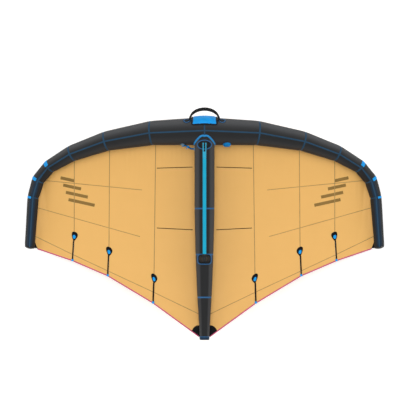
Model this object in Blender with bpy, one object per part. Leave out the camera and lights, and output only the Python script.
"""Inflatable wingfoil wing, lying on its tips with the rider's side up.

The wing frame has +X along the span, +Y towards the leading edge and +Z up, away from the
canopy. Its origin lies on the floor under the middle of the leading edge. The root empty
moves everything so that the part's own origin is under the middle of its box.
"""

import math

import bmesh
import bpy
import numpy as np
from mathutils import Matrix, Vector

# Clearances
SEAT_GAP = 0.0003
BORE_PLAY = 0.0003
SOCKET_PLAY = 0.0009
CUT_OVERRUN = 0.02

# Leading edge tube: a chain of straight cones, sewn at the stations
TIP_X = 1.474
TIP_SWEEP = 0.977
ARCH_RISE = 0.332
NOSE_RADIUS = 0.118
LE_WALL = 0.0015
LE_SIDES = 24
STATION_X_SHARES = (0, 0.302, 0.559, 0.757, 0.887, 0.951, 0.980, 1)
STATION_SWEEP_SHARES = (0, 0.017, 0.086, 0.191, 0.305, 0.420, 0.570, 1)
STATION_RISE_SHARES = (1, 0.864, 0.623, 0.364, 0.133, 0, 0, 0)
STATION_RADIUS_SHARES = (1, 0.872, 0.702, 0.582, 0.475, 0.454, 0.411, 0.355)
TIP_CUT_ANGLE = math.radians(10)
TIP_CAP_BULGE = 0.012
TIP_CAP_RING_SHARES = (0.6, 1)
LAST_STATION = len(STATION_X_SHARES) - 1

# Bladders
FILM = 0.0008
FILM_GAP = 0.0006
BLADDER_SIDES = 12
BLADDER_END_GAP = 0.004
STRUT_BLADDER_START = 0.128
STRUT_BLADDER_END_GAP = 0.03

# Canopy sheet: ribs run from a station of the leading edge to a share of the trailing edge
SHEET = 0.0012
ATTACH_ANGLE = math.radians(-29)
TAIL_HEIGHT = 0.42
CAMBER_SHARE = 0.035
CAMBER_FORWARD_SHARE = 0.9
CHORD_STEPS = 12
TRAIL_KNOTS = (0, 0.1, 1, 2, 3, 4)
TRAIL_X_SHARES = (0, 0.0285, 0.293, 0.552, 0.754, 0.955)
TRAIL_Y_SHARES = (1, 0.999, 0.835, 0.703, 0.6295, 0.5717)
TRAIL_Z_SHARES = (1, 0.995, 0.857, 0.595, 0.357, 0.05)
RIB_STATIONS = (0, 0.09, 0.456, 0.912, 1, 1.5, 1.931, 2, 2.5, 2.928, 3, 3.5, 4, 4.5, 5, 6, 7)
RIB_TRAIL_KNOTS = (0, 0.1, 0.5, 1, 1.09, 1.55, 2, 2.07, 2.55, 3, 3.05, 3.2, 3.37, 3.49, 3.6, 3.78, 4)
PANEL_SEAMS = (0, 0.912, 1.931, 2.928, 7)

# Trailing edge hem, batten pockets, battens and patches
HEM_WIDTH = 0.009
HEM_THICKNESS = 0.0024
BATTEN_WIDTH = 0.008
BATTEN_THICKNESS = 0.0016
BATTEN_LENGTH = 0.15
POCKET_WIDTH = 0.013
POCKET_WALL = 0.0009
POCKET_LENGTH = 0.165
PATCH_THICKNESS = 0.0012
PATCH_LIFT = 0.0005
BATTEN_PATCH_LENGTH = 0.076
BATTEN_PATCH_WIDTH = 0.047
BATTEN_PATCH_TAPER = 0.38
PATCH_RING_SHARES = (0.5, 1)
PATCH_SIDES = 16
TAIL_PATCH_LENGTH = 0.085
TAIL_PATCH_WIDTH = 0.060
TAIL_PATCH_TAPER = 0.85

# Centre strut
STRUT_LENGTH = 1.726
STRUT_RADIUS = 0.084
STRUT_WALL = 0.0015
STRUT_SIDES = 24
STRUT_KNOT_SHARES = (0, 0.379, 0.601, 0.809, 1)
STRUT_RADIUS_SHARES = (1, 1, 0.9, 0.714, 0.47)
STRUT_RING_SHARES = (0.012, 0.06, 0.13, 0.21, 0.29, 0.379, 0.49, 0.601, 0.705, 0.809, 0.905, 1)
SADDLE_TAPE = 0.009
SADDLE_THICKNESS = 0.0018
SADDLE_ANGLE = math.radians(96)
SADDLE_REACH = 0.12
END_CAP_LENGTH = 0.029
END_CAP_LIP = 0.002
END_CAP_WALL = 0.003
END_CAP_FILLET = 0.006

# Boom and its two feet
PIN_REACH = 0.116
BOOM_LENGTH = 0.960
BOOM_STANDOFF = 0.078
GRIP_DIAMETER = 0.031
TUBE_DIAMETER = 0.025
TUBE_WALL = 0.0018
FORK_NOSE = 0.0165
FORK_SLOT_LENGTH = 0.059
FORK_SLOT_WIDTH = 0.014
FORK_LENGTH = 0.115
SOCKET_DEPTH = 0.04
PIN_DIAMETER = 0.008
PIN_HEAD_DIAMETER = 0.013
PIN_HEAD_HEIGHT = 0.0025
TONGUE_RADIUS = 0.013
FRONT_FOOT_LENGTH = 0.062
FRONT_FOOT_WIDTH = 0.052
FOOT_EDGE = 0.006
FRONT_PATCH_LENGTH = 0.084
FRONT_PATCH_SPREAD = 0.756
REAR_PATCH_LENGTH = 0.092
REAR_PATCH_SPREAD = 0.825
TAIL_BASE_LENGTH = 0.060
TAIL_BASE_WIDTH = 0.087
TAIL_NECK_DIAMETER = 0.034
TAIL_NECK_REACH = 0.041
TAIL_WAIST_LENGTH = 0.046
TAIL_WAIST_WIDTH = 0.038
TAIL_CROWN = 0.022
KEY_WIDTH = 0.018
KEY_LENGTH = 0.026
KEY_HEIGHT = 0.014
KEY_TAPER_SHARE = 0.86
PYLON_LEVEL_SHARES = (0, 0.1, 0.3, 0.6, 0.85, 1)
PYLON_WIDTH_SHARES = (1, 1, 0.62, 0.2, 0.03, 0)
PYLON_LENGTH_SHARES = (1, 1, 0.4, 0.08, 0, 0)
CROWN_ANGLES = (30, 55, 72)
CROWN_FULLNESS = 0.6
FORK_NOSE_ANGLES = (80, 60, 35, 0)
TONGUE_ANGLES = (0, 30, 60, 80)
BUTTON_DIAMETER = 0.015
BUTTON_HEIGHT = 0.007
BUTTON_PROUD = 0.0022
BUTTON_TRAVEL = 0.003
MOULD_SIDES = 24
PIN_SIDES = 16

# Front handle
HANDLE_FOOT_X = 0.121
HANDLE_FOOT_Y = 0.099
HANDLE_AXIS_LIFT = 0.012
HANDLE_ARCH = 0.089
HANDLE_TILT = math.radians(20)
HANDLE_LEG_RADIUS = 0.0076
HANDLE_GRIP_RADIUS = 0.0115
HANDLE_STEPS = 20
HANDLE_SIDES = 10
HANDLE_END_SHARE = 0.7
HANDLE_PIN_DIAMETER = 0.006
ANCHOR_X = 0.141
ANCHOR_DIAMETER = 0.064
ANCHOR_CHEEK = 0.004
ANCHOR_CHEEK_RADIUS = 0.0085
PAD_LENGTH = 0.198
PAD_THICKNESS = 0.014
PAD_EDGE = 0.005
PAD_LOW_ANGLE = math.radians(190)
PAD_HIGH_ANGLE = math.radians(119)

# Inflation valve on the right, one-pump hose on the left
VALVE_X = 0.189
VALVE_ANGLE = math.radians(18)
VALVE_FLANGE_DIAMETER = 0.070
VALVE_FLANGE = 0.003
VALVE_SIDES = 32
COLLAR_DIAMETER = 0.044
COLLAR_BORE = 0.034
COLLAR_HEIGHT = 0.010
COLLAR_DEPTH = 0.022
SEAT_RING = 0.003
FLANGE_SAG_SHARE = 0.125
CORE_STEM_DIAMETER = 0.006
CORE_DISC = 0.003
CORE_TRAVEL = 0.004
CAP_DIAMETER = 0.062
CAP_HEIGHT = 0.016
CAP_WALL = 0.0025
CAP_DOME_RADIUS_SHARES = (0, 0.5, 0.85, 1)
CAP_DOME_DROP_SHARES = (0, 0.4, 1.6, 3.2)
CAP_HINGE_REACH = 0.0395
CAP_HINGE_LIFT = 0.008
CAP_BARREL_DIAMETER = 0.009
CAP_BARREL_LENGTH = 0.014
CAP_PIN_DIAMETER = 0.003
CAP_EAR = 0.004
HOSE_DIAMETER = 0.014
HOSE_BORE = 0.009
HOSE_X = 0.185
HOSE_ANGLE = math.radians(18)
HOSE_STRUT_REACH = 0.150
HOSE_LEAD_SHARE = 0.45
HOSE_SIDES = 10
HOSE_STEPS = 12
PORT_FLANGE_DIAMETER = 0.036
PORT_FLANGE = 0.0025
PORT_COLLAR_DIAMETER = 0.018
PORT_LENGTH = 0.007
PORT_STEM = 0.009
ELBOW_LIFT = 0.012
SPIGOT_DIAMETER = 0.0082
SPIGOT_BORE = 0.005
STEM_BORE = 0.0058
SPIGOT_LENGTH = 0.012
CLIP_WIDTH = 0.012
CLIP_WALL = 0.003
CLIP_SHARE = 0.5
CLIP_EAR_LENGTH = 0.007
CLIP_LEVER_LENGTH = 0.026
CLIP_PIN_DIAMETER = 0.003

# Finishes: colour, metallic, roughness
FINISHES = {
    "airframe_cloth": ("2E2F31", 0, 0.75),
    "reinforcement_cloth": ("14181C", 0, 0.8),
    "canopy_cloth": ("E8B568", 0, 0.55),
    "hem_tape": ("C8507A", 0, 0.7),
    "bright_blue_pad": ("2E97EE", 0, 0.6),
    "seam_tape": ("2F8FD0", 0, 0.6),
    "cap_webbing": ("1F3A57", 0, 0.7),
    "handle_cover": ("17181A", 0, 0.7),
    "bladder_film": ("C9D3D8", 0, 0.35),
    "grip_foam": ("27B4D8", 0, 0.75),
    "fork_nylon": ("27B4D8", 0, 0.45),
    "foot_nylon": ("2A2C2F", 0, 0.5),
    "boom_aluminium": ("9A9DA1", 1, 0.35),
    "pin_steel": ("B8BABD", 1, 0.3),
    "valve_nylon": ("1E86D8", 0, 0.4),
    "hose_rubber": ("2A6FB0", 0, 0.55),
    "fitting_nylon": ("9DB4C4", 0, 0.4),
    "batten_glassfibre": ("D8D4C4", 0, 0.4),
}


def linear(byte):
    """One sRGB byte as a linear colour value."""
    value = byte / 255
    return value / 12.92 if value <= 0.04045 else ((value + 0.055) / 1.055) ** 2.4


def finish(part_name, finish_name):
    """A material of the part's own, with one of the finishes."""
    colour, metallic, roughness = FINISHES[finish_name]
    material = bpy.data.materials.new(f"{part_name} {finish_name}")
    material.use_nodes = True
    shader = material.node_tree.nodes["Principled BSDF"]
    rgb = [linear(byte) for byte in bytes.fromhex(colour)]
    shader.inputs["Base Color"].default_value = (*rgb, 1)
    shader.inputs["Metallic"].default_value = metallic
    shader.inputs["Roughness"].default_value = roughness
    return material


# Meshes and objects


def loft(loops, wrap=False):
    """Bridge loops into a closed skin: a loop of one point ends it as a fan, a full one as a face."""
    loops = [np.atleast_2d(np.asarray(loop, float)) for loop in loops]
    sizes = [len(loop) for loop in loops]
    starts = np.cumsum([0] + sizes[:-1]).tolist()
    pairs = list(zip(range(len(loops) - 1), range(1, len(loops))))
    if wrap:
        pairs.append((len(loops) - 1, 0))
    faces = []
    for one, two in pairs:
        count = max(sizes[one], sizes[two])
        for k in range(count):
            after = (k + 1) % count
            corners = (
                starts[one] + k % sizes[one],
                starts[one] + after % sizes[one],
                starts[two] + after % sizes[two],
                starts[two] + k % sizes[two],
            )
            faces.append(tuple(dict.fromkeys(corners)))
    if not wrap and sizes[0] > 1:
        faces.append(tuple(reversed(range(sizes[0]))))
    if not wrap and sizes[-1] > 1:
        faces.append(tuple(range(starts[-1], starts[-1] + sizes[-1])))
    points = np.concatenate(loops)
    return points, creased(points, faces)


def creased(points, faces):
    """Fold each four-sided face along its shorter diagonal, so that both skins of a shell match."""
    folded = []
    for face in faces:
        if len(face) != 4:
            folded.append(face)
            continue
        first, second, third, fourth = face
        one = np.linalg.norm(points[first] - points[third])
        other = np.linalg.norm(points[second] - points[fourth])
        if one < other:
            folded += [(first, second, third), (first, third, fourth)]
        else:
            folded += [(first, second, fourth), (second, third, fourth)]
    return folded


def slab(top, bottom):
    """The closed solid between two grids of points with the same rows and columns."""
    rows, columns = top.shape[:2]
    size = rows * columns
    index = np.arange(size).reshape(rows, columns)
    quads = np.stack([index[:-1, :-1], index[1:, :-1], index[1:, 1:], index[:-1, 1:]], -1)
    quads = quads.reshape(-1, 4)
    rim = np.concatenate([index[:, 0], index[-1, 1:], index[-2::-1, -1], index[0, -2:0:-1]])
    after = np.roll(rim, -1)
    walls = np.stack([after, rim, rim + size, after + size], -1)
    faces = np.concatenate([quads, quads[:, ::-1] + size, walls]).tolist()
    points = np.concatenate([top.reshape(-1, 3), bottom.reshape(-1, 3)])
    return points, creased(points, faces)


def volume(points, faces):
    """Signed volume of a closed mesh, as a sum of fans."""
    total = 0.0
    for face in faces:
        for second, third in zip(face[1:-1], face[2:]):
            total += points[face[0]].dot(np.cross(points[second], points[third])) / 6
    return total


def add(name, shape, finish_name, parent=None, flat=False):
    """Make an object of a closed shape given in the wing frame, and hang it on an empty."""
    points, faces = shape
    points = np.asarray(points, float)
    if volume(points - points.mean(axis=0), faces) < 0:
        faces = [tuple(reversed(face)) for face in faces]
    parent = parent or WING
    local = points - np.asarray(pivot_of(parent))
    mesh = bpy.data.meshes.new(name)
    mesh.from_pydata(local.tolist(), [], [tuple(face) for face in faces])
    if not flat:
        mesh.shade_smooth()
        mesh.set_sharp_from_angle(angle=math.radians(38))
    thing = bpy.data.objects.new(name, mesh)
    thing.parent = parent
    bpy.context.scene.collection.objects.link(thing)
    if finish_name:
        mesh.materials.append(finish(name, finish_name))
    return thing


def pivot_of(empty):
    """Where an empty stands in the wing frame."""
    return Vector((0, 0, 0)) if empty == WING else empty.location.copy()


def add_pivot(name, place):
    """An empty on a joint's axis."""
    empty = bpy.data.objects.new(name, None)
    empty.location = place
    empty.parent = WING
    bpy.context.scene.collection.objects.link(empty)
    return empty


def tool(name, shape, parent=None):
    """A shape that only cuts or joins: it isn't part of the object."""
    thing = add(name, shape, None, parent, flat=True)
    thing.hide_render = True
    thing.display_type = "WIRE"
    return thing


def combine(thing, other, operation="DIFFERENCE"):
    """A live Boolean with a tool."""
    modifier = thing.modifiers.new(other.name, "BOOLEAN")
    modifier.object = other
    modifier.operation = operation
    modifier.solver = "EXACT"


def turned(profile, matrix, sides=MOULD_SIDES):
    """Loops of a profile of (radius, height) pairs turned about the matrix's Z axis."""
    angles = np.arange(sides) * 2 * math.pi / sides
    loops = []
    for radius, height in profile:
        if radius == 0:
            loops.append(moved([(0, 0, height)], matrix))
        else:
            ring = np.stack([radius * np.cos(angles), radius * np.sin(angles)], -1)
            loops.append(moved(np.c_[ring, np.full(sides, height)], matrix))
    return loops


def moved(points, matrix):
    """Points taken through a 4x4 matrix."""
    points = np.asarray(points, float)
    grid = np.asarray(matrix)
    return points @ grid[:3, :3].T + grid[:3, 3]


def place(origin, out, along):
    """A matrix at a point with Z pointing out and X as near to along as it can be."""
    z_axis = Vector(out).normalized()
    x_axis = Vector(along)
    x_axis = (x_axis - z_axis * x_axis.dot(z_axis)).normalized()
    y_axis = z_axis.cross(x_axis)
    matrix = Matrix((x_axis, y_axis, z_axis)).transposed().to_4x4()
    matrix.translation = Vector(origin)
    return matrix


def rod(diameter, low, high, matrix, sides=MOULD_SIDES):
    """A plain round bar between two heights of a matrix."""
    return loft(turned([(0, low), (diameter / 2, low), (diameter / 2, high), (0, high)], matrix, sides))


def box(size, centre, matrix):
    """A rectangular block."""
    half = np.asarray(size) / 2
    corner_shares = ((-1, -1), (1, -1), (1, 1), (-1, 1))
    loops = []
    for level in (-half[2], half[2]):
        loop = [(x * half[0], y * half[1], level) for x, y in corner_shares]
        loops.append(moved(np.asarray(loop) + np.asarray(centre), matrix))
    return loft(loops)


def plate(outline, thickness, matrix):
    """An outline in the matrix's XY plane, given a thickness along its Z."""
    outline = np.asarray(outline, float)
    levels = (-thickness / 2, thickness / 2)
    return loft([moved(np.c_[outline, np.full(len(outline), z)], matrix) for z in levels])


def arc(radius, first, last, steps=8):
    """Points on an arc about the origin, angles in degrees."""
    turns = np.radians(np.linspace(first, last, steps + 1))
    return [(radius * math.cos(turn), radius * math.sin(turn)) for turn in turns]


def lug_outline(radius, drop, back):
    """An ear: round about the hinge, and widening to its foot on one side."""
    return arc(radius, 0, 180) + [(-back, -drop), (radius, -drop)]


def lever_outline(radius, length):
    """A barrel about the hinge with an arm as thick as its radius."""
    return arc(radius, -90, 90) + [(-length, radius), (-length, 0)] + arc(radius, 180, 255, 5)


def oval(width, length, sides=MOULD_SIDES, squareness=2.5):
    """A rounded outline: the power curve |x/a|^n + |y/b|^n = 1, as plan points."""
    angles = np.arange(sides) * 2 * math.pi / sides
    power = 2 / squareness
    x = np.sign(np.cos(angles)) * np.abs(np.cos(angles)) ** power
    y = np.sign(np.sin(angles)) * np.abs(np.sin(angles)) ** power
    return np.stack([x * width / 2, y * length / 2], -1)


# Leading edge


def station_table():
    """Centres, radii, ring normals and mitre stretches of the right half's stations."""
    radii = NOSE_RADIUS * np.asarray(STATION_RADIUS_SHARES)
    centres = np.stack(
        [
            TIP_X * np.asarray(STATION_X_SHARES),
            -TIP_SWEEP * np.asarray(STATION_SWEEP_SHARES),
            radii + ARCH_RISE * np.asarray(STATION_RISE_SHARES),
        ],
        -1,
    )
    runs = np.diff(centres, axis=0)
    runs /= np.linalg.norm(runs, axis=1, keepdims=True)
    normals = np.zeros_like(centres)
    normals[0] = (1, 0, 0)
    normals[1:-1] = runs[:-1] + runs[1:]
    normals[-1] = (math.sin(TIP_CUT_ANGLE), -math.cos(TIP_CUT_ANGLE), 0)
    normals /= np.linalg.norm(normals, axis=1, keepdims=True)
    legs = np.concatenate([runs, runs[-1:]])
    cosines = (legs * normals).sum(axis=1, keepdims=True)
    bends = legs - cosines * normals
    bends /= np.linalg.norm(bends, axis=1, keepdims=True)
    return centres, radii, normals, bends, 1 / cosines - 1


CENTRES, RADII, NORMALS, BENDS, STRETCHES = station_table()
REARS = np.cross(NORMALS, (0, 0, 1))
REARS /= np.linalg.norm(REARS, axis=1, keepdims=True)
UPS = np.cross(REARS, NORMALS)


def le_surface(station, angle, lift=0.0):
    """A point of the leading edge: station counts seams, signed by side; angle is up from the rear."""
    station, angle, lift = np.broadcast_arrays(*(np.asarray(v, float) for v in (station, angle, lift)))
    low = np.minimum(np.abs(station).astype(int), LAST_STATION - 1)
    share = (np.abs(station) - low)[..., None]

    def ring(k):
        out = np.cos(angle)[..., None] * REARS[k] + np.sin(angle)[..., None] * UPS[k]
        lean = (out * BENDS[k]).sum(axis=-1, keepdims=True)
        out = out + STRETCHES[k] * lean * BENDS[k]
        return CENTRES[k] + (RADII[k] + lift)[..., None] * out

    point = ring(low) * (1 - share) + ring(low + 1) * share
    point[..., 0] *= np.where(station < 0, -1, 1)
    return point


def le_ring(station, lift, sides=LE_SIDES):
    """One ring of the leading edge."""
    angles = np.arange(sides) * 2 * math.pi / sides
    return le_surface(np.full(sides, float(station)), angles, lift)


def le_solid(first, last, lift, sides=LE_SIDES):
    """The tube between two stations as a solid, to cut what seats on it."""
    inner = [k for k in range(-LAST_STATION, LAST_STATION + 1) if first < k < last]
    return loft([le_ring(k, lift, sides) for k in (first, *inner, last)])


def le_frame(x, angle):
    """A matrix on the tube near its middle: Z out of the skin, X along the span."""
    station = x / CENTRES[1][0]
    step = 1 / LE_SIDES
    origin = le_surface(station, angle)
    out = le_surface(station, angle, NOSE_RADIUS) - origin
    along = le_surface(station + step, angle) - le_surface(station - step, angle)
    return place(origin, out, along)


# Canopy


def trail_point(knot):
    """A point of the trailing edge, straight from one batten end to the next."""
    share_tables = (TRAIL_X_SHARES, TRAIL_Y_SHARES, TRAIL_Z_SHARES)
    sizes = (TIP_X, -STRUT_LENGTH, TAIL_HEIGHT)
    return np.stack([np.interp(knot, TRAIL_KNOTS, t) * s for t, s in zip(share_tables, sizes)], -1)


def canopy(station, chord_share, lift=0.0):
    """The sheet's upper face: a straight rib from tube to trailing edge, less a parabola of camber."""
    station, chord_share, lift = np.broadcast_arrays(
        *(np.asarray(v, float) for v in (station, chord_share, lift))
    )
    knot = np.interp(np.abs(station), RIB_STATIONS, RIB_TRAIL_KNOTS)
    front = le_surface(station, ATTACH_ANGLE, SEAT_GAP)
    back = trail_point(knot)
    back[..., 0] *= np.where(station < 0, -1, 1)
    share = chord_share[..., None]
    point = front * (1 - share) + back * share
    chord = np.linalg.norm(back - front, axis=-1)
    eased = chord_share ** CAMBER_FORWARD_SHARE
    point[..., 2] += lift - CAMBER_SHARE * chord * 4 * eased * (1 - eased)
    return point


CHORD_SHARES = np.linspace(0, 1, CHORD_STEPS + 1)
KEEL = canopy(np.zeros(CHORD_STEPS + 1), CHORD_SHARES)


def strut_radius(reach):
    """The strut's radius at a distance behind the leading edge's axis."""
    share = np.asarray(reach) / STRUT_LENGTH
    return STRUT_RADIUS * np.interp(share, STRUT_KNOT_SHARES, STRUT_RADIUS_SHARES)


def strut_surface(reach, angle, lift=0.0):
    """A point of the strut: it stands on the canopy's middle line, with angle up from +X."""
    reach, angle, lift = np.broadcast_arrays(*(np.asarray(v, float) for v in (reach, angle, lift)))
    radius = strut_radius(reach)
    middle = np.interp(reach, -KEEL[:, 1], KEEL[:, 2]) + SEAT_GAP + radius
    across = (radius + lift) * np.cos(angle)
    return np.stack([across, -reach, middle + (radius + lift) * np.sin(angle)], -1)


def strut_ring(reach, lift, sides=STRUT_SIDES):
    """One upright ring of the strut."""
    angles = np.arange(sides) * 2 * math.pi / sides
    return strut_surface(np.full(sides, float(reach)), angles, lift)


def strut_crown(reach):
    """Height of the strut's top line."""
    return float(strut_surface(reach, math.pi / 2)[2])


def strut_body(lift):
    """The strut's outside as a solid, to seat what stands on it."""
    return loft([strut_ring(STRUT_LENGTH * share, lift) for share in STRUT_RING_SHARES])


def on_strut(reach, lift, outline):
    """An outline, given in plan, laid on the strut at a lift above its skin."""
    across = outline[:, 0]
    reaches = reach - outline[:, 1]
    radius = strut_radius(reaches) + lift
    return strut_surface(reaches, np.arccos(across / radius), lift)


def disc(surface, outline):
    """Loops of an outline shrunk towards its centre, laid on a surface."""
    loops = [surface(np.zeros(1), np.zeros(1))]
    for share in PATCH_RING_SHARES:
        loops.append(surface(outline[:, 0] * share, outline[:, 1] * share))
    return loops


def patch(surface_at, low, high, outline):
    """A thin piece of cloth or plastic that follows a surface between two lifts."""
    return loft(disc(surface_at(high), outline) + disc(surface_at(low), outline)[::-1])


# The sub-parts of the leading edge


def build_leading_edge():
    """Hollow sewn tube, open at both tips, with holes for the valve and the hose."""
    stations = range(-LAST_STATION, LAST_STATION + 1)
    outer = [le_ring(k, 0) for k in stations]
    inner = [le_ring(k, -LE_WALL) for k in reversed(stations)]
    tube = add("leading_edge", loft(outer + inner, wrap=True), "airframe_cloth")
    clear = LE_WALL + FILM_GAP
    ends = BLADDER_END_GAP / (TIP_SWEEP * (STATION_SWEEP_SHARES[-1] - STATION_SWEEP_SHARES[-2]))
    last = LAST_STATION - ends
    inside = [k for k in stations if abs(k) < last]
    film_loops = [le_ring(k, -clear, BLADDER_SIDES) for k in (-last, *inside, last)]
    bladder = add("leading_edge_bladder", loft(film_loops), "bladder_film")
    last -= ends
    inside = [k for k in stations if abs(k) < last]
    air_loops = [le_ring(k, -clear - FILM, BLADDER_SIDES) for k in (-last, *inside, last)]
    combine(bladder, tool("leading_edge_air", loft(air_loops)))
    tool("nose_seat", le_solid(-1, 1, SEAT_GAP))
    for name, matrix, diameter in (
        ("valve_hole", le_frame(VALVE_X, VALVE_ANGLE), COLLAR_DIAMETER),
        ("leading_edge_port_hole", le_frame(-HOSE_X, HOSE_ANGLE), SPIGOT_DIAMETER),
    ):
        hole = tool(name, rod(diameter + 2 * BORE_PLAY, -CUT_OVERRUN, CUT_OVERRUN, matrix))
        combine(tube, hole)
        combine(bladder, hole)


def build_tip_caps():
    """Slightly domed cloth discs that close the tube's two ends."""
    normal = NORMALS[-1]
    rim = le_ring(LAST_STATION, 0)
    centre = CENTRES[-1]
    for side, sign in (("left", -1), ("right", 1)):
        faces = []
        for lift in (SEAT_GAP, SEAT_GAP + LE_WALL):
            dome = [centre + normal * (lift + TIP_CAP_BULGE)]
            for share in TIP_CAP_RING_SHARES:
                rise = lift + TIP_CAP_BULGE * (1 - share**2)
                dome.append(centre + (rim - centre) * share + normal * rise)
            faces.append(dome)
        loops = [np.atleast_2d(loop) * (sign, 1, 1) for loop in faces[1] + faces[0][::-1]]
        add(f"tip_cap_{side}", loft(loops), "airframe_cloth")


def build_handle_pad():
    """Crowned soft pad on the nose, behind the front handle."""
    rows = np.linspace(-1, 1, 11)[:, None]
    columns = np.linspace(0, 1, 9)[None, :]
    angle = PAD_LOW_ANGLE + (PAD_HIGH_ANGLE - PAD_LOW_ANGLE) * columns
    crown = (1 - rows**6) * (1 - (2 * columns - 1) ** 4)
    station = rows * PAD_LENGTH / 2 / CENTRES[1][0]
    top = le_surface(station, angle, PAD_EDGE + (PAD_THICKNESS - PAD_EDGE) * crown)
    bottom = le_surface(station, angle, -PAD_EDGE)
    pad = add("handle_pad", slab(top, bottom), "bright_blue_pad")
    combine(pad, bpy.data.objects["nose_seat"])


def handle_axis():
    """The feet's axis: height of the line along X that the front handle swings on."""
    radius = np.interp(HANDLE_FOOT_X, CENTRES[:2, 0], RADII[:2]) + HANDLE_AXIS_LIFT
    centre_y = np.interp(HANDLE_FOOT_X, CENTRES[:2, 0], CENTRES[:2, 1])
    centre_z = np.interp(HANDLE_FOOT_X, CENTRES[:2, 0], CENTRES[:2, 2])
    return float(centre_z + math.sqrt(radius**2 - (HANDLE_FOOT_Y - centre_y) ** 2))


def build_front_handle():
    """Padded arch on two feet, with an anchor patch, cheek and pin under each foot."""
    axis = Vector((0, HANDLE_FOOT_Y, handle_axis()))
    pivot = add_pivot("front_handle_pivot", axis)
    turns = np.linspace(0, math.pi, HANDLE_STEPS + 1)
    rise = np.sin(turns)
    path_x = HANDLE_FOOT_X * np.cos(turns)
    path_out = HANDLE_ARCH * rise
    swell = np.sqrt(np.clip(2 * rise - 1, 0, 1))
    radius = HANDLE_LEG_RADIUS + (HANDLE_GRIP_RADIUS - HANDLE_LEG_RADIUS) * swell
    tangent = np.stack([-HANDLE_FOOT_X * np.sin(turns), HANDLE_ARCH * np.cos(turns)], -1)
    tangent /= np.linalg.norm(tangent, axis=1, keepdims=True)
    forward = np.array((0, math.cos(HANDLE_TILT), math.sin(HANDLE_TILT)))
    across = np.array((0, -math.sin(HANDLE_TILT), math.cos(HANDLE_TILT)))
    angles = np.arange(HANDLE_SIDES) * 2 * math.pi / HANDLE_SIDES
    loops = []
    for k in range(HANDLE_STEPS + 1):
        middle = np.asarray(axis) + (path_x[k], 0, 0) + forward * path_out[k]
        normal = np.array((tangent[k][1], 0, 0)) - forward * tangent[k][0]
        ring = np.outer(np.cos(angles), normal) + np.outer(np.sin(angles), across)
        loops.append(middle + radius[k] * ring)
    foot_caps = []
    for end in (0, -1):
        drop = forward * HANDLE_LEG_RADIUS
        middle = loops[end].mean(axis=0)
        foot_caps.append(middle + (loops[end] - middle) * HANDLE_END_SHARE - drop)
    handle = add("front_handle", loft([foot_caps[0], *loops, foot_caps[1]]), "handle_cover", pivot)
    sideways = Matrix.Rotation(math.pi / 2, 4, "Y")
    for side, sign in (("left", -1), ("right", 1)):
        foot = Matrix.Translation(axis + Vector((sign * HANDLE_FOOT_X, 0, 0))) @ sideways
        reach = HANDLE_LEG_RADIUS + CUT_OVERRUN
        eye = rod(HANDLE_PIN_DIAMETER + 2 * BORE_PLAY, -reach, reach, foot, PIN_SIDES)
        combine(handle, tool(f"handle_eye_{side}", eye, pivot))
        build_anchor(side, sign, axis)


def build_anchor(side, sign, axis):
    """Round patch on the tube with a cheek outside the handle's foot and a pin through its eye."""
    middle_y = np.interp(ANCHOR_X, CENTRES[:2, 0], CENTRES[:2, 1])
    middle_z = np.interp(ANCHOR_X, CENTRES[:2, 0], CENTRES[:2, 2])
    tube_radius = np.interp(ANCHOR_X, CENTRES[:2, 0], RADII[:2])
    angle = math.atan2(axis.z - middle_z, -(HANDLE_FOOT_Y - middle_y))

    def surface_at(lift):
        def surface(across, forward):
            station = sign * (ANCHOR_X + across) / CENTRES[1][0]
            return le_surface(station, angle + forward / tube_radius, lift)

        return surface

    outline = oval(ANCHOR_DIAMETER, ANCHOR_DIAMETER, squareness=2)
    anchor = add(
        f"front_handle_anchor_{side}",
        patch(surface_at, -PATCH_THICKNESS, SEAT_GAP + PATCH_THICKNESS, outline),
        "reinforcement_cloth",
    )
    combine(anchor, bpy.data.objects["nose_seat"])
    sideways = Matrix.Rotation(math.pi / 2, 4, "Y")
    cheek_start = HANDLE_FOOT_X + HANDLE_LEG_RADIUS + SEAT_GAP
    cheek_x = sign * (cheek_start + ANCHOR_CHEEK / 2)
    out = Vector((0, axis.y - middle_y, axis.z - middle_z)).normalized()
    cheek_frame = place(axis + Vector((cheek_x, 0, 0)), (1, 0, 0), out.cross(Vector((1, 0, 0))))
    drop = HANDLE_AXIS_LIFT - SEAT_GAP - PATCH_THICKNESS / 2
    outline = lug_outline(ANCHOR_CHEEK_RADIUS, drop, ANCHOR_CHEEK_RADIUS)
    cheek = tool(f"handle_cheek_{side}", plate(outline, ANCHOR_CHEEK, cheek_frame))
    pin_frame = Matrix.Translation(axis + Vector((sign * HANDLE_FOOT_X, 0, 0))) @ sideways
    pin_reach = HANDLE_LEG_RADIUS + SEAT_GAP + ANCHOR_CHEEK / 2
    low, high = sorted((-sign * HANDLE_LEG_RADIUS, sign * pin_reach))
    pin = rod(HANDLE_PIN_DIAMETER, low, high, pin_frame, PIN_SIDES)
    combine(cheek, tool(f"handle_pin_{side}", pin), "UNION")
    combine(anchor, cheek, "UNION")


# The canopy's sub-parts


def build_canopy():
    """Eight sewn panels, four on each side of the middle."""
    for side, sign in (("left", -1), ("right", 1)):
        for number, (start, stop) in enumerate(zip(PANEL_SEAMS[:-1], PANEL_SEAMS[1:]), 1):
            ribs = [rib for rib in RIB_STATIONS if start <= rib <= stop]
            stations = sign * np.asarray(ribs, float)[:, None]
            top = canopy(stations, CHORD_SHARES[None, :])
            bottom = canopy(stations, CHORD_SHARES[None, :], -SHEET)
            for sheet in (top, bottom):
                sheet[0, :, 0] += sign * SEAT_GAP / 2
                if stop != PANEL_SEAMS[-1]:
                    sheet[-1, :, 0] -= sign * SEAT_GAP / 2
            add(f"canopy_panel_{side}_{number}", slab(top, bottom), "canopy_cloth")


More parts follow.
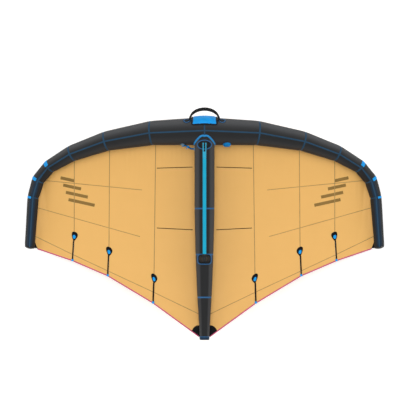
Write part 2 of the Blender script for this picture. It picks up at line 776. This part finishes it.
def build_hems():
    """Folded tape along each half of the trailing edge."""
    knots = [knot for knot in RIB_TRAIL_KNOTS if knot >= TRAIL_KNOTS[1]]
    line = trail_point(np.asarray(knots))
    runs = np.diff(line[:, :2], axis=0)
    runs /= np.linalg.norm(runs, axis=1, keepdims=True)
    normals = np.stack([runs[:, 1], -runs[:, 0]], -1)
    joints = np.concatenate([normals[:1], normals[:-1] + normals[1:], normals[-1:]])
    neighbours = np.concatenate([normals, normals[-1:]])
    joints /= (joints * neighbours).sum(axis=1, keepdims=True)
    for side, sign in (("left", -1), ("right", 1)):
        rows = []
        for depth in (SEAT_GAP, SEAT_GAP + HEM_WIDTH):
            row = line.copy()
            row[:, :2] += joints * depth
            row[:, 0] *= sign
            rows.append(row)
        band = np.stack(rows, 1)
        lift = np.array((0, 0, (HEM_THICKNESS - SHEET) / 2))
        drop = np.array((0, 0, (HEM_THICKNESS + SHEET) / 2))
        add(f"trailing_edge_hem_{side}", slab(band + lift, band - drop), "hem_tape")


def on_canopy(sign, rib, middle_reach, lift):
    """A surface for patches: forward is measured along a rib from a point ahead of its trailing end."""
    chord = float(canopy(rib, 0)[1] - canopy(rib, 1)[1])
    step = 1 / LE_SIDES
    girth = float(canopy(rib + step, 1)[0] - canopy(rib - step, 1)[0]) / (2 * step)

    def surface(across, forward):
        share = 1 - (middle_reach + forward) / chord
        return canopy(sign * (rib + across / girth), share, lift)

    return surface


def teardrop(width, length, sides=PATCH_SIDES):
    """Round at its front and drawn to a narrow neck at its back."""
    angles = np.arange(sides) * 2 * math.pi / sides
    across = np.cos(angles) * (1 - BATTEN_PATCH_TAPER * (1 - np.sin(angles)))
    return np.stack([across / across.max() * width / 2, np.sin(angles) * length / 2], -1)


def build_battens():
    """At each inner seam's end: a stitched pocket, the batten in it and a patch over its front."""
    for side, sign in (("left", -1), ("right", 1)):
        for number, rib in enumerate(PANEL_SEAMS[1:-1], 1):
            name = f"{side}_{number}"
            inner = np.array((BATTEN_WIDTH + 4 * BORE_PLAY, BATTEN_THICKNESS + 2 * BORE_PLAY))
            outer = np.array((POCKET_WIDTH, inner[1] + 2 * POCKET_WALL))
            base = PATCH_LIFT + outer[1] / 2
            run = np.linspace(0, 1, 5)
            pocket_loops = []
            for size in (outer, inner):
                shares = run if size is outer else run[::-1]
                for share in shares:
                    pocket_loops.append(batten_section(sign, rib, share * POCKET_LENGTH, size, base))
            add(f"batten_pocket_{name}", loft(pocket_loops, wrap=True), "reinforcement_cloth")
            core = np.array((BATTEN_WIDTH, BATTEN_THICKNESS))
            start = (POCKET_LENGTH - BATTEN_LENGTH) / 2
            core_loops = [
                batten_section(sign, rib, start + share * BATTEN_LENGTH, core, base) for share in run
            ]
            add(f"batten_{name}", loft(core_loops), "batten_glassfibre")
            middle = POCKET_LENGTH + SEAT_GAP + BATTEN_PATCH_LENGTH / 2

            def surface_at(lift, sign=sign, rib=rib, middle=middle):
                return on_canopy(sign, rib, middle, lift)

            outline = teardrop(BATTEN_PATCH_WIDTH, BATTEN_PATCH_LENGTH)
            shape = patch(surface_at, PATCH_LIFT, PATCH_LIFT + PATCH_THICKNESS, outline)
            add(f"batten_patch_{name}", shape, "reinforcement_cloth")


def batten_section(sign, rib, reach, size, base):
    """A flat section across a rib, creased with it, at a distance ahead of the trailing edge."""
    corner_shares = ((-0.5, -0.5), (0, -0.5), (0.5, -0.5), (0.5, 0.5), (0, 0.5), (-0.5, 0.5))
    loop = []
    for across, up in corner_shares:
        surface = on_canopy(sign, rib, reach, base + up * size[1])
        loop.append(surface(np.asarray(across * size[0]), np.asarray(0.0)))
    return np.asarray(loop)


def build_cloth_patches():
    """Dark cloth over the canopy beside the strut's tail."""
    for side, sign in (("left", -1), ("right", 1)):
        start = strut_radius(STRUT_LENGTH) + SEAT_GAP
        across = np.linspace(0, 1, 4)[:, None]
        along = np.linspace(0, 1, 5)[None, :]
        girth = trail_point(0.5)[0] / RIB_STATIONS[2]
        chord = float(canopy(0, 0)[1] - canopy(0, 1)[1])
        station = (start + across * TAIL_PATCH_WIDTH) / girth
        reach = TAIL_PATCH_LENGTH * (1 - across**2 * TAIL_PATCH_TAPER)
        rows = [
            canopy(sign * station, 1 - along * reach / chord, lift)
            for lift in (PATCH_LIFT + PATCH_THICKNESS, PATCH_LIFT)
        ]
        add(f"tail_patch_{side}", slab(*rows), "reinforcement_cloth")


# The strut's sub-parts


def build_strut():
    """Tapered tube from the leading edge to the tail, its mouth cut to the leading edge's shape."""
    reaches = STRUT_LENGTH * np.asarray(STRUT_RING_SHARES)
    outer = [strut_ring(reach, 0) for reach in reaches]
    inner = [strut_ring(reach, -STRUT_WALL) for reach in reaches[::-1]]
    strut = add("strut", loft(outer + inner, wrap=True), "airframe_cloth")
    mouth = bpy.data.objects["nose_seat"]
    combine(strut, mouth)
    clear = STRUT_WALL + FILM_GAP
    start = STRUT_BLADDER_START
    stop = STRUT_LENGTH - STRUT_BLADDER_END_GAP
    inside = [reach for reach in reaches if start + FILM < reach < stop - FILM]
    film = [strut_ring(reach, -clear, BLADDER_SIDES) for reach in (start, *inside, stop)]
    bladder = add("strut_bladder", loft(film), "bladder_film")
    within = (start + FILM, *inside, stop - FILM)
    air = [strut_ring(reach, -clear - FILM, BLADDER_SIDES) for reach in within]
    combine(bladder, tool("strut_air", loft(air)))
    port_hole = rod(SPIGOT_DIAMETER + 2 * BORE_PLAY, -CUT_OVERRUN, CUT_OVERRUN, strut_port())
    port = tool("strut_port_hole", port_hole)
    combine(strut, port)
    combine(bladder, port)
    tool("strut_seat", strut_body(SEAT_GAP))
    tool("strut_patch_limit", strut_body(SEAT_GAP + PATCH_THICKNESS))
    tool("strut_foot_seat", strut_body(2 * SEAT_GAP + PATCH_THICKNESS))
    build_saddle(mouth)
    build_end_cap()


def strut_port():
    """Frame of the hose's fitting on the strut's left flank."""
    return place(strut_surface(HOSE_STRUT_REACH, math.pi), (-1, 0, 0), (0, 1, 0))


def build_saddle(mouth):
    """Bright tape over the seam where the strut meets the leading edge, open underneath."""
    tape = add("strut_saddle_tape", le_solid(-1, 1, SADDLE_TAPE), "seam_tape")
    combine(tape, tool("saddle_limit", strut_body(SEAT_GAP + SADDLE_THICKNESS)), "INTERSECT")
    combine(tape, bpy.data.objects["strut_seat"])
    combine(tape, mouth)
    foot = strut_surface(SADDLE_REACH, math.pi / 2 - SADDLE_ANGLE)
    size = (4 * STRUT_RADIUS, 4 * SADDLE_REACH, 2 * STRUT_RADIUS)
    below = box(size, (0, 0, foot[2] - STRUT_RADIUS), Matrix.Identity(4))
    combine(tape, tool("saddle_below", below))


def build_end_cap():
    """Flat-backed cup over the strut's tail."""
    centre = strut_surface(STRUT_LENGTH, 0.0) * (0, 1, 1)
    radius = float(strut_radius(STRUT_LENGTH)) + END_CAP_LIP
    frame = place(centre, (0, -1, 0), (1, 0, 0))
    inner = radius - END_CAP_WALL
    back = END_CAP_LENGTH
    floor = back - END_CAP_WALL
    profile = [
        (0, back),
        (radius - END_CAP_FILLET, back),
        (radius, back - END_CAP_FILLET),
        (radius, SEAT_GAP),
        (inner, SEAT_GAP),
        (inner, floor),
        (0, floor),
    ]
    add("strut_end_cap", loft(turned(profile, frame)), "cap_webbing")


# The boom


def boom_ends():
    """The fork pin's axis and the middle of the tail, both above the strut's top line."""
    rear = PIN_REACH + BOOM_LENGTH
    front = Vector((0, -PIN_REACH, strut_crown(PIN_REACH) + BOOM_STANDOFF))
    back = Vector((0, -rear, strut_crown(rear) + BOOM_STANDOFF))
    return front, back


def boom_frame():
    """The boom's own frame: origin on the pin, Y forward along the tube, Z up."""
    front, back = boom_ends()
    forward = (front - back).normalized()
    out = Vector((1, 0, 0)).cross(forward)
    return place(front, out, (1, 0, 0))


def build_foot_patch(name, reach, spread, length, squareness):
    """Reinforcing cloth over a share of the strut's width: a prism cut to the strut's own facets."""
    width = 2 * spread * float(strut_radius(reach))
    levels = (strut_crown(reach) - STRUT_RADIUS, strut_crown(reach) + STRUT_RADIUS)
    plan = oval(width, length, squareness=squareness) - (0, reach)
    sheet = add(name, loft([np.c_[plan, np.full(len(plan), z)] for z in levels]), "reinforcement_cloth")
    combine(sheet, bpy.data.objects["strut_patch_limit"], "INTERSECT")
    combine(sheet, bpy.data.objects["strut_seat"])


def build_front_foot():
    """Moulded pedestal on the strut's nose, with the tongue that the fork straddles."""
    front, _ = boom_ends()
    build_foot_patch("front_foot_patch", PIN_REACH, FRONT_PATCH_SPREAD, FRONT_PATCH_LENGTH, 2)
    under = 2 * SEAT_GAP + PATCH_THICKNESS
    outline = oval(FRONT_FOOT_WIDTH, FRONT_FOOT_LENGTH)
    loops = [on_strut(PIN_REACH, lift, outline) for lift in (-FOOT_EDGE, under + FOOT_EDGE)]
    thickness = FORK_SLOT_WIDTH - 2 * SEAT_GAP
    waist = oval(thickness, 2 * TONGUE_RADIUS, squareness=6)
    neck_z = front.z - GRIP_DIAMETER / 2 - TONGUE_RADIUS / 2
    shoulder_z = strut_crown(PIN_REACH) + under + 2 * FOOT_EDGE
    shoulder = oval(thickness + FOOT_EDGE * 2, 2 * TONGUE_RADIUS + FOOT_EDGE * 2, squareness=3)
    loops.append(np.c_[shoulder + (0, front.y), np.full(len(shoulder), shoulder_z)])
    loops.append(np.c_[waist + (0, front.y), np.full(len(waist), neck_z)])
    for turn in np.radians(TONGUE_ANGLES):
        share = math.cos(turn)
        level = front.z + TONGUE_RADIUS * math.sin(turn)
        loops.append(np.c_[waist * (1, share) + (0, front.y), np.full(len(waist), level)])
    foot = add("front_foot", loft(loops), "foot_nylon")
    combine(foot, bpy.data.objects["strut_foot_seat"])
    sideways = place(front, (1, 0, 0), (0, 1, 0))
    bore = rod(PIN_DIAMETER + 2 * BORE_PLAY, -GRIP_DIAMETER, GRIP_DIAMETER, sideways, PIN_SIDES)
    combine(foot, tool("front_foot_bore", bore))


def build_boom(pivot):
    """Fork, pin, tube and sleeve, along the boom's frame."""
    frame = boom_frame()
    back_turn = frame @ Matrix.Rotation(math.pi / 2, 4, "X")
    radius = GRIP_DIAMETER / 2
    loops = []
    for turn in np.radians(FORK_NOSE_ANGLES):
        ring = oval(GRIP_DIAMETER, GRIP_DIAMETER * math.cos(turn), squareness=2)
        reach = FORK_NOSE * math.sin(turn)
        loops.append(moved(np.c_[ring[:, 0], np.full(len(ring), reach), ring[:, 1]], frame))
    ring = oval(GRIP_DIAMETER, GRIP_DIAMETER, squareness=2)
    loops.append(moved(np.c_[ring[:, 0], np.full(len(ring), -FORK_LENGTH), ring[:, 1]], frame))
    fork = add("boom_fork", loft(loops), "fork_nylon", pivot)
    slot_length = FORK_SLOT_LENGTH + CUT_OVERRUN + FORK_NOSE
    slot_middle = (0, (CUT_OVERRUN + FORK_NOSE - FORK_SLOT_LENGTH) / 2, 0)
    slot = box((FORK_SLOT_WIDTH, slot_length, 2 * GRIP_DIAMETER), slot_middle, frame)
    combine(fork, tool("fork_slot", slot, pivot))
    cross = frame @ Matrix.Rotation(math.pi / 2, 4, "Y")
    hole = rod(PIN_DIAMETER + 2 * BORE_PLAY, -GRIP_DIAMETER, GRIP_DIAMETER, cross, PIN_SIDES)
    combine(fork, tool("fork_pin_hole", hole, pivot))
    bore = TUBE_DIAMETER + 2 * BORE_PLAY
    socket = rod(bore, FORK_LENGTH - SOCKET_DEPTH, FORK_LENGTH + CUT_OVERRUN, back_turn)
    combine(fork, tool("fork_socket", socket, pivot))
    head = radius + SEAT_GAP
    far = head + PIN_HEAD_HEIGHT
    small = PIN_DIAMETER / 2
    large = PIN_HEAD_DIAMETER / 2
    near_end = [(0, -far), (large, -far), (large, -head), (small, -head)]
    far_end = [(radius, -level) for radius, level in reversed(near_end)]
    add("boom_pin", loft(turned(near_end + far_end, cross, PIN_SIDES)), "pin_steel")
    tube_start = FORK_LENGTH - SOCKET_DEPTH + SEAT_GAP
    tube_end = BOOM_LENGTH - TAIL_NECK_REACH + SOCKET_DEPTH - SEAT_GAP
    outer = TUBE_DIAMETER / 2
    inner = outer - TUBE_WALL
    profile = [(outer, tube_start), (outer, tube_end), (inner, tube_end), (inner, tube_start)]
    add("boom_tube", loft(turned(profile, back_turn), wrap=True), "boom_aluminium", pivot)
    grip_start = FORK_LENGTH + SEAT_GAP
    grip_end = BOOM_LENGTH - TAIL_NECK_REACH - SEAT_GAP
    inner = TUBE_DIAMETER / 2 + BORE_PLAY
    profile = [(radius, grip_start), (radius, grip_end), (inner, grip_end), (inner, grip_start)]
    add("boom_grip", loft(turned(profile, back_turn), wrap=True), "grip_foam", pivot)
    return frame, back_turn


def seat_level():
    """Height of the rear foot's flat top in the boom's frame, below the tube's axis."""
    rear = PIN_REACH + BOOM_LENGTH
    under = 2 * SEAT_GAP + PATCH_THICKNESS + FOOT_EDGE
    top = Vector((0, -rear, strut_crown(rear) + under))
    return float((boom_frame().inverted() @ top).z)


def build_rear_foot():
    """Saddle on the strut with a flat top and a tapered key that the boom's tail drops over."""
    rear = PIN_REACH + BOOM_LENGTH
    build_foot_patch("rear_foot_patch", rear, REAR_PATCH_SPREAD, REAR_PATCH_LENGTH, 4)
    outline = oval(TAIL_BASE_WIDTH, TAIL_BASE_LENGTH)
    frame = boom_frame()
    level = seat_level()
    loops = [on_strut(rear, -FOOT_EDGE, outline)]
    flat = np.c_[outline - (0, BOOM_LENGTH), np.full(len(outline), level)]
    loops.append(moved(flat, frame))
    key = oval(KEY_WIDTH, KEY_LENGTH, squareness=5)
    base = np.c_[key - (0, BOOM_LENGTH), np.full(len(key), level)]
    loops.append(moved(base, frame))
    top = np.c_[key * KEY_TAPER_SHARE - (0, BOOM_LENGTH), np.full(len(key), level + KEY_HEIGHT)]
    loops.append(moved(top, frame))
    foot = add("rear_foot", loft(loops), "foot_nylon")
    combine(foot, bpy.data.objects["strut_foot_seat"])


def build_boom_tail(frame, back_turn, pivot):
    """Pylon lofted from an oval base to a slim waist, with a neck for the tube and a release button."""
    level = seat_level() + SEAT_GAP
    loops = []
    for up, wide, deep in zip(PYLON_LEVEL_SHARES, PYLON_WIDTH_SHARES, PYLON_LENGTH_SHARES):
        width = TAIL_WAIST_WIDTH + (TAIL_BASE_WIDTH - TAIL_WAIST_WIDTH) * wide
        length = TAIL_WAIST_LENGTH + (TAIL_BASE_LENGTH - TAIL_WAIST_LENGTH) * deep
        ring = oval(width, length) - (0, BOOM_LENGTH)
        loops.append(moved(np.c_[ring, np.full(len(ring), level * (1 - up))], frame))
    for turn in np.radians(CROWN_ANGLES):
        share = math.cos(turn) ** CROWN_FULLNESS
        ring = oval(TAIL_WAIST_WIDTH * share, TAIL_WAIST_LENGTH * share) - (0, BOOM_LENGTH)
        loops.append(moved(np.c_[ring, np.full(len(ring), TAIL_CROWN * math.sin(turn))], frame))
    tail = add("boom_tail", loft(loops), "foot_nylon", pivot)
    neck_start = BOOM_LENGTH - TAIL_NECK_REACH
    neck = rod(TAIL_NECK_DIAMETER, neck_start, BOOM_LENGTH, back_turn)
    combine(tail, tool("tail_neck", neck, pivot), "UNION")
    bore = TUBE_DIAMETER + 2 * BORE_PLAY
    socket = rod(bore, neck_start - CUT_OVERRUN, neck_start + SOCKET_DEPTH, back_turn)
    combine(tail, tool("tail_socket", socket, pivot))
    key = oval(KEY_WIDTH + 2 * SOCKET_PLAY, KEY_LENGTH + 2 * SOCKET_PLAY, squareness=5)
    key -= (0, BOOM_LENGTH)
    pocket = [
        moved(np.c_[key, np.full(len(key), z)], frame)
        for z in (level - CUT_OVERRUN / 2, level + KEY_HEIGHT + SOCKET_PLAY)
    ]
    combine(tail, tool("tail_pocket", loft(pocket), pivot))
    crown = TAIL_CROWN * math.sin(math.radians(CROWN_ANGLES[-1]))
    top = frame @ Matrix.Translation((0, -BOOM_LENGTH, crown))
    well_depth = BUTTON_HEIGHT - BUTTON_PROUD + BUTTON_TRAVEL + SEAT_GAP
    well = rod(BUTTON_DIAMETER + 2 * BORE_PLAY, -well_depth, CUT_OVERRUN, top)
    combine(tail, tool("button_well", well, pivot))
    radius = BUTTON_DIAMETER / 2
    low = BUTTON_PROUD - BUTTON_HEIGHT
    profile = [(0, low), (radius, low), (radius, BUTTON_PROUD / 2)]
    profile += [(radius - BUTTON_PROUD, BUTTON_PROUD), (0, BUTTON_PROUD)]
    button_pivot = add_pivot("release_button_pivot", top.translation)
    add("release_button", loft(turned(profile, top)), "valve_nylon", button_pivot)


# Inflation


def build_valve():
    """Flanged collar in the tube's skin, sprung core in its bore and hinged cap over it."""
    frame = le_frame(VALVE_X, VALVE_ANGLE)
    outer = COLLAR_DIAMETER / 2
    bore = COLLAR_BORE / 2
    rim = VALVE_FLANGE_DIAMETER / 2
    sag = VALVE_FLANGE_DIAMETER * FLANGE_SAG_SHARE
    waist = (outer + bore) / 2
    flange = [(rim, -sag), (rim, VALVE_FLANGE), (waist, VALVE_FLANGE), (waist, -sag)]
    base = add("valve_base", loft(turned(flange, frame, VALVE_SIDES), wrap=True), "valve_nylon")
    combine(base, bpy.data.objects["nose_seat"])
    narrow = bore - SEAT_RING
    collar = [
        (outer, -COLLAR_DEPTH),
        (outer, COLLAR_HEIGHT),
        (bore, COLLAR_HEIGHT),
        (bore, -COLLAR_DEPTH + SEAT_RING),
        (narrow, -COLLAR_DEPTH + SEAT_RING),
        (narrow, -COLLAR_DEPTH),
    ]
    collar_loops = turned(collar, frame, VALVE_SIDES)
    combine(base, tool("valve_collar", loft(collar_loops, wrap=True)), "UNION")
    core_frame = frame @ Matrix.Translation((0, 0, -COLLAR_DEPTH + SEAT_RING + SEAT_GAP + CORE_TRAVEL))
    stem = CORE_STEM_DIAMETER / 2
    disc_radius = bore - BORE_PLAY
    stem_top = COLLAR_DEPTH - SEAT_RING - CORE_TRAVEL + COLLAR_HEIGHT / 2
    profile = [(0, 0), (disc_radius, 0), (disc_radius, CORE_DISC)]
    profile += [(stem, CORE_DISC), (stem, stem_top), (0, stem_top)]
    core_pivot = add_pivot("valve_core_pivot", core_frame.translation)
    add("valve_core", loft(turned(profile, core_frame)), "fitting_nylon", core_pivot)
    build_valve_cap(frame, base)


def build_valve_cap(frame, base):
    """Cup with a domed top, swinging on a barrel between two ears of the base."""
    low = VALVE_FLANGE + SEAT_GAP
    radius = CAP_DIAMETER / 2
    high = low + CAP_HEIGHT
    hollow = COLLAR_DIAMETER / 2 + SOCKET_PLAY
    roof = COLLAR_HEIGHT + SOCKET_PLAY
    dome = zip(CAP_DOME_RADIUS_SHARES, CAP_DOME_DROP_SHARES)
    profile = [(radius * wide, high - CAP_WALL * drop) for wide, drop in dome]
    profile += [(radius, low), (hollow, low), (hollow, roof), (0, roof)]
    hinge = frame @ Matrix.Translation((0, CAP_HINGE_REACH, CAP_HINGE_LIFT))
    pivot = add_pivot("valve_cap_pivot", hinge.translation)
    cap = add("valve_cap", loft(turned(profile, frame)), "valve_nylon", pivot)
    across = place(hinge.translation, frame.col[0].to_3d(), frame.col[1].to_3d())
    arm_length = CAP_HINGE_REACH - radius + CAP_WALL
    arm = plate(lever_outline(CAP_BARREL_DIAMETER / 2, arm_length), CAP_BARREL_LENGTH, across)
    combine(cap, tool("cap_arm", arm, pivot), "UNION")
    hole = rod(CAP_PIN_DIAMETER + 2 * BORE_PLAY, -CUT_OVERRUN, CUT_OVERRUN, across, PIN_SIDES)
    combine(cap, tool("cap_hinge_hole", hole, pivot))
    ear_reach = (CAP_BARREL_LENGTH + CAP_EAR) / 2 + SEAT_GAP
    pin = tool("cap_pin", rod(CAP_PIN_DIAMETER, -ear_reach, ear_reach, across, PIN_SIDES))
    drop = CAP_HINGE_LIFT - VALVE_FLANGE / 2
    back = CAP_HINGE_REACH - VALVE_FLANGE_DIAMETER / 2 + VALVE_FLANGE
    outline = lug_outline(CAP_BARREL_DIAMETER / 2, drop, back)
    for side, sign in (("left", -1), ("right", 1)):
        ear = plate(outline, CAP_EAR, across @ Matrix.Translation((0, 0, sign * ear_reach)))
        combine(pin, tool(f"cap_ear_{side}", ear), "UNION")
    combine(base, pin, "UNION")


def build_fitting(name, frame, seat, outlet, height):
    """Flanged hose fitting: a stem through the skin, a collar outside and a spigot at its outlet."""
    spigot = SPIGOT_DIAMETER / 2
    collar = PORT_COLLAR_DIAMETER / 2
    rim = PORT_FLANGE_DIAMETER / 2
    sag = PORT_FLANGE_DIAMETER * FLANGE_SAG_SHARE
    waist = (spigot + STEM_BORE / 2) / 2
    flange = [(rim, -sag), (rim, PORT_FLANGE), (waist, PORT_FLANGE), (waist, -sag)]
    fitting = add(name, loft(turned(flange, frame), wrap=True), "fitting_nylon")
    combine(fitting, seat)
    profile = [(0, -PORT_STEM), (spigot, -PORT_STEM), (spigot, PORT_FLANGE / 2)]
    profile += [(collar, PORT_FLANGE / 2), (collar, height), (0, height)]
    combine(fitting, tool(f"{name}_stem", loft(turned(profile, frame))), "UNION")
    spout = rod(SPIGOT_DIAMETER, -collar / 2, SPIGOT_LENGTH, outlet, PIN_SIDES)
    combine(fitting, tool(f"{name}_spigot", spout), "UNION")
    way_in = rod(STEM_BORE, -PORT_STEM - CUT_OVERRUN, height - PORT_FLANGE, frame, PIN_SIDES)
    combine(fitting, tool(f"{name}_way_in", way_in))
    way_out = rod(SPIGOT_BORE, -collar, SPIGOT_LENGTH + CUT_OVERRUN, outlet, PIN_SIDES)
    combine(fitting, tool(f"{name}_way_out", way_out))


def hose_path(start, end):
    """Straight over each spigot, and a cubic curve between them."""
    first = start @ Vector((0, 0, SEAT_GAP))
    last = end @ Vector((0, 0, SEAT_GAP))
    leave = start @ Vector((0, 0, SPIGOT_LENGTH))
    arrive = end @ Vector((0, 0, SPIGOT_LENGTH))
    lead = (arrive - leave).length * HOSE_LEAD_SHARE
    knots = (leave, leave + start.col[2].to_3d() * lead, arrive + end.col[2].to_3d() * lead, arrive)
    shares = np.linspace(0, 1, HOSE_STEPS + 1)[:, None]
    rest = 1 - shares
    weights = (rest**3, 3 * shares * rest**2, 3 * shares**2 * rest, shares**3)
    curve = sum(weight * np.asarray(knot) for weight, knot in zip(weights, knots))
    return np.concatenate([[first], curve, [last]])


def sweep_frames(path):
    """Frames along a path, with Z along it and X kept as level as it can be."""
    tangents = np.gradient(path, axis=0)
    return [place(point, tangent, (0, 0, 1)) for point, tangent in zip(path, tangents)]


def build_hose():
    """One-pump hose from the leading edge to the strut, with a clip on it."""
    root = le_frame(-HOSE_X, HOSE_ANGLE)
    mouth = root @ Vector((PORT_COLLAR_DIAMETER / 2, 0, ELBOW_LIFT))
    elbow = place(mouth, (1, 0, 0), root.col[2].to_3d())
    build_fitting(
        "leading_edge_hose_fitting",
        root,
        bpy.data.objects["nose_seat"],
        elbow,
        ELBOW_LIFT + PORT_COLLAR_DIAMETER / 2,
    )
    port = strut_port()
    outlet = port @ Matrix.Translation((0, 0, PORT_LENGTH))
    build_fitting("strut_hose_fitting", port, bpy.data.objects["strut_seat"], outlet, PORT_LENGTH)
    path = hose_path(elbow, outlet)
    frames = sweep_frames(path)
    loops = [turned([(HOSE_DIAMETER / 2, 0)], frame, HOSE_SIDES)[0] for frame in frames]
    loops += [turned([(HOSE_BORE / 2, 0)], frame, HOSE_SIDES)[0] for frame in reversed(frames)]
    add("inflation_hose", loft(loops, wrap=True), "hose_rubber")
    build_clip(frames[round(CLIP_SHARE * HOSE_STEPS)])


def build_clip(frame):
    """Band round the hose with two ears and a lever that swings on a pin between them."""
    inner = HOSE_DIAMETER / 2 + 2 * BORE_PLAY
    outer = inner + CLIP_WALL
    half = CLIP_WIDTH / 2
    profile = [(outer, -half), (outer, half), (inner, half), (inner, -half)]
    clip = add("hose_clip", loft(turned(profile, frame), wrap=True), "valve_nylon")
    reach = outer + CLIP_EAR_LENGTH
    hinge = place(
        frame @ Vector((reach - CLIP_PIN_DIAMETER, 0, 0)), frame.col[2].to_3d(), -frame.col[1].to_3d()
    )
    drop = reach - CLIP_PIN_DIAMETER - outer + CLIP_WALL / 2
    ear_reach = half - CLIP_WALL / 2
    for side, sign in (("front", -1), ("back", 1)):
        outline = lug_outline(CLIP_PIN_DIAMETER, drop, CLIP_PIN_DIAMETER)
        ear = plate(outline, CLIP_WALL, hinge @ Matrix.Translation((0, 0, sign * ear_reach)))
        combine(clip, tool(f"clip_ear_{side}", ear), "UNION")
    pin = rod(CLIP_PIN_DIAMETER, -ear_reach, ear_reach, hinge, PIN_SIDES)
    combine(clip, tool("clip_pin", pin), "UNION")
    pivot = add_pivot("hose_clip_pivot", hinge.translation)
    width = CLIP_WIDTH - 2 * CLIP_WALL - 2 * SEAT_GAP
    shape = plate(lever_outline(CLIP_PIN_DIAMETER, CLIP_LEVER_LENGTH), width, hinge)
    lever = add("hose_clip_lever", shape, "valve_nylon", pivot)
    hole = rod(CLIP_PIN_DIAMETER + 2 * BORE_PLAY, -CUT_OVERRUN, CUT_OVERRUN, hinge, PIN_SIDES)
    combine(lever, tool("clip_lever_hole", hole, pivot))


def clear_scene():
    """Start from an empty scene."""
    for thing in list(bpy.data.objects):
        bpy.data.objects.remove(thing)


def part_origin():
    """The middle of the plan box: from the front handle's crown to the strut's end cap."""
    crown = HANDLE_FOOT_Y + (HANDLE_ARCH + HANDLE_GRIP_RADIUS) * math.cos(HANDLE_TILT)
    tail = -(STRUT_LENGTH + END_CAP_LENGTH)
    return Vector((0, (crown + tail) / 2, 0))


clear_scene()
WING = bpy.data.objects.new("wing", None)
bpy.context.scene.collection.objects.link(WING)
WING.location = -part_origin()
build_leading_edge()
build_tip_caps()
build_handle_pad()
build_front_handle()
build_canopy()
build_hems()
build_battens()
build_cloth_patches()
build_strut()
build_front_foot()
build_rear_foot()
BOOM_PIVOT = add_pivot("boom_pivot", boom_ends()[0])
BOOM_FRAME, BOOM_BACK = build_boom(BOOM_PIVOT)
build_boom_tail(BOOM_FRAME, BOOM_BACK, BOOM_PIVOT)
build_valve()
build_hose()
